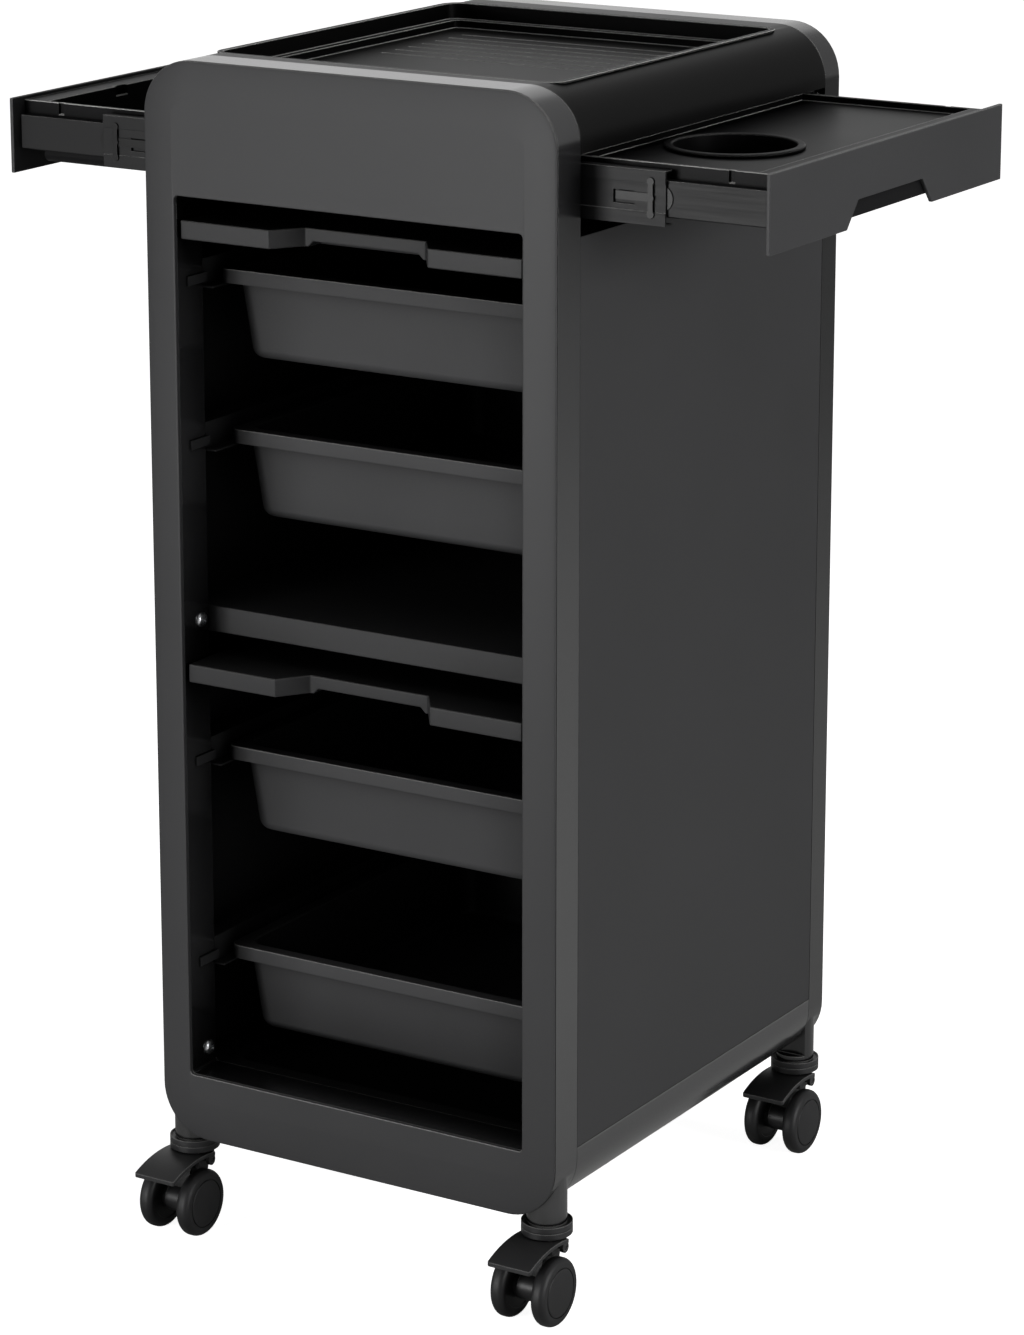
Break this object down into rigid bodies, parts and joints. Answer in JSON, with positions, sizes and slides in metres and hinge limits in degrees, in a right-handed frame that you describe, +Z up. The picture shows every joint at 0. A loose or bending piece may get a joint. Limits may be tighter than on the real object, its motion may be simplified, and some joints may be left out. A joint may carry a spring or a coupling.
{
  "type": "rolling salon trolley",
  "caption": "Tall rolling salon trolley: an open-front cabinet with sliding bins, pull-out boards, a tray top, a side drawer with a cup and a deeper side drawer, on braked casters.",
  "frame": {"origin": "on the floor, under the middle of the whole trolley with its casters and its drawers drawn open", "axes": "+X to the trolley's right drawer, +Y to its back, +Z up"},
  "size_m": [0.62, 0.4418, 0.87],
  "materials": {
    "graphite_plate": "fine satin, slightly textured",
    "graphite_frame": "fine satin grain",
    "graphite_panel": "satin",
    "tray_black": "fine leather-like grain",
    "bin_grey": "satin grain",
    "board_grey": "satin grain",
    "drawer_grey": "satin grain",
    "inner_black": "matt",
    "slide_steel": "black zinc plated",
    "ball_steel": "bright",
    "latch_black": "smooth",
    "screw_zinc": "bright zinc",
    "caster_black": "smooth",
    "wheel_grey": "smooth moulded"
  },
  "bodies": {
    "cabinet": {"front_plate": "graphite_plate", "front_frame": "graphite_frame", "back_frame": "graphite_frame", "back_panel": "graphite_panel", "side_panel_left": "graphite_panel", "side_panel_right": "graphite_panel", "base_shell": "graphite_frame", "base_floor": "inner_black", "top_cover": "graphite_frame", "top_tray": "tray_black", "drawer_bay_floor": "inner_black", "slide_mounts": "inner_black", "middle_shelf": "graphite_panel", "bin_runners": "inner_black", "board_runners": "inner_black", "frame_screws": "screw_zinc", "caster_stems": "caster_black", "slide_outers": "slide_steel"},
    "drawer_right": {"drawer_right_tray": "drawer_grey", "drawer_right_front": "graphite_plate", "slide_inner_right": "slide_steel"},
    "slides_right": {"slide_middle_right": "slide_steel", "slide_cages_right": "ball_steel", "slide_latches_right": "latch_black"},
    "drawer_left": {"drawer_left_box": "drawer_grey", "drawer_left_front": "graphite_plate", "slide_inner_left": "slide_steel"},
    "slides_left": {"slide_middle_left": "slide_steel", "slide_cages_left": "ball_steel", "slide_latches_left": "latch_black"},
    "cup": {"cup_insert": "drawer_grey"},
    "upper_board": {"upper_board": "board_grey"},
    "lower_board": {"lower_board": "board_grey"},
    "bin_1": {"bin_1": "bin_grey"},
    "bin_2": {"bin_2": "bin_grey"},
    "bin_3": {"bin_3": "bin_grey"},
    "bin_4": {"bin_4": "bin_grey"},
    "caster_fl": {"caster_fl_housing": "caster_black", "caster_fl_axle": "screw_zinc"},
    "pedal_fl": {"caster_fl_pedal": "caster_black"},
    "wheel_fl_left": {"caster_fl_wheel_left": "wheel_grey"},
    "wheel_fl_right": {"caster_fl_wheel_right": "wheel_grey"},
    "caster_fr": {"caster_fr_housing": "caster_black", "caster_fr_axle": "screw_zinc"},
    "pedal_fr": {"caster_fr_pedal": "caster_black"},
    "wheel_fr_left": {"caster_fr_wheel_left": "wheel_grey"},
    "wheel_fr_right": {"caster_fr_wheel_right": "wheel_grey"},
    "caster_bl": {"caster_bl_housing": "caster_black", "caster_bl_axle": "screw_zinc"},
    "pedal_bl": {"caster_bl_pedal": "caster_black"},
    "wheel_bl_left": {"caster_bl_wheel_left": "wheel_grey"},
    "wheel_bl_right": {"caster_bl_wheel_right": "wheel_grey"},
    "caster_br": {"caster_br_housing": "caster_black", "caster_br_axle": "screw_zinc"},
    "pedal_br": {"caster_br_pedal": "caster_black"},
    "wheel_br_left": {"caster_br_wheel_left": "wheel_grey"},
    "wheel_br_right": {"caster_br_wheel_right": "wheel_grey"}
  },
  "joints": [
    {"name": "drawer_right_slide", "type": "slide", "parent": "cabinet", "child": "drawer_right", "axis": [1, 0, 0], "range_m": [-0.1425, 0]},
    {"name": "slides_right_follow", "type": "slide", "parent": "cabinet", "child": "slides_right", "axis": [1, 0, 0], "range_m": [-0.07125, 0]},
    {"name": "drawer_left_slide", "type": "slide", "parent": "cabinet", "child": "drawer_left", "axis": [-1, 0, 0], "range_m": [-0.1425, 0]},
    {"name": "slides_left_follow", "type": "slide", "parent": "cabinet", "child": "slides_left", "axis": [-1, 0, 0], "range_m": [-0.07125, 0]},
    {"name": "cup_lift", "type": "slide", "parent": "drawer_right", "child": "cup", "axis": [0, 0, 1], "range_m": [0, 0.06]},
    {"name": "upper_board_slide", "type": "slide", "parent": "cabinet", "child": "upper_board", "axis": [0, -1, 0], "range_m": [0, 0.28]},
    {"name": "lower_board_slide", "type": "slide", "parent": "cabinet", "child": "lower_board", "axis": [0, -1, 0], "range_m": [0, 0.28]},
    {"name": "bin_1_slide", "type": "slide", "parent": "cabinet", "child": "bin_1", "axis": [0, -1, 0], "range_m": [0, 0.25]},
    {"name": "bin_2_slide", "type": "slide", "parent": "cabinet", "child": "bin_2", "axis": [0, -1, 0], "range_m": [0, 0.25]},
    {"name": "bin_3_slide", "type": "slide", "parent": "cabinet", "child": "bin_3", "axis": [0, -1, 0], "range_m": [0, 0.25]},
    {"name": "bin_4_slide", "type": "slide", "parent": "cabinet", "child": "bin_4", "axis": [0, -1, 0], "range_m": [0, 0.25]},
    {"name": "caster_fl_swivel", "type": "hinge", "parent": "cabinet", "child": "caster_fl", "pos_m": [-0.152, -0.1689, 0.064], "axis": [0, 0, 1], "continuous": true},
    {"name": "caster_fl_brake", "type": "hinge", "parent": "caster_fl", "child": "pedal_fl", "pos_m": [-0.152, -0.1719, 0.053], "axis": [1, 0, 0], "range_deg": [0, 8]},
    {"name": "wheel_fl_left_spin", "type": "hinge", "parent": "caster_fl", "child": "wheel_fl_left", "pos_m": [-0.152, -0.1869, 0.025], "axis": [1, 0, 0], "continuous": true},
    {"name": "wheel_fl_right_spin", "type": "hinge", "parent": "caster_fl", "child": "wheel_fl_right", "pos_m": [-0.152, -0.1869, 0.025], "axis": [1, 0, 0], "continuous": true},
    {"name": "caster_fr_swivel", "type": "hinge", "parent": "cabinet", "child": "caster_fr", "pos_m": [0.152, -0.1689, 0.064], "axis": [0, 0, 1], "continuous": true},
    {"name": "caster_fr_brake", "type": "hinge", "parent": "caster_fr", "child": "pedal_fr", "pos_m": [0.152, -0.1719, 0.053], "axis": [1, 0, 0], "range_deg": [0, 8]},
    {"name": "wheel_fr_left_spin", "type": "hinge", "parent": "caster_fr", "child": "wheel_fr_left", "pos_m": [0.152, -0.1869, 0.025], "axis": [1, 0, 0], "continuous": true},
    {"name": "wheel_fr_right_spin", "type": "hinge", "parent": "caster_fr", "child": "wheel_fr_right", "pos_m": [0.152, -0.1869, 0.025], "axis": [1, 0, 0], "continuous": true},
    {"name": "caster_bl_swivel", "type": "hinge", "parent": "cabinet", "child": "caster_bl", "pos_m": [-0.152, 0.2025, 0.064], "axis": [0, 0, 1], "continuous": true},
    {"name": "caster_bl_brake", "type": "hinge", "parent": "caster_bl", "child": "pedal_bl", "pos_m": [-0.152, 0.1995, 0.053], "axis": [1, 0, 0], "range_deg": [0, 8]},
    {"name": "wheel_bl_left_spin", "type": "hinge", "parent": "caster_bl", "child": "wheel_bl_left", "pos_m": [-0.152, 0.1845, 0.025], "axis": [1, 0, 0], "continuous": true},
    {"name": "wheel_bl_right_spin", "type": "hinge", "parent": "caster_bl", "child": "wheel_bl_right", "pos_m": [-0.152, 0.1845, 0.025], "axis": [1, 0, 0], "continuous": true},
    {"name": "caster_br_swivel", "type": "hinge", "parent": "cabinet", "child": "caster_br", "pos_m": [0.152, 0.2025, 0.064], "axis": [0, 0, 1], "continuous": true},
    {"name": "caster_br_brake", "type": "hinge", "parent": "caster_br", "child": "pedal_br", "pos_m": [0.152, 0.1995, 0.053], "axis": [1, 0, 0], "range_deg": [0, 8]},
    {"name": "wheel_br_left_spin", "type": "hinge", "parent": "caster_br", "child": "wheel_br_left", "pos_m": [0.152, 0.1845, 0.025], "axis": [1, 0, 0], "continuous": true},
    {"name": "wheel_br_right_spin", "type": "hinge", "parent": "caster_br", "child": "wheel_br_right", "pos_m": [0.152, 0.1845, 0.025], "axis": [1, 0, 0], "continuous": true}
  ],
  "couplings": [
    {"joint": "slides_right_follow", "follows": "drawer_right_slide", "ratio": 0.5},
    {"joint": "slides_left_follow", "follows": "drawer_left_slide", "ratio": 0.5}
  ]
}
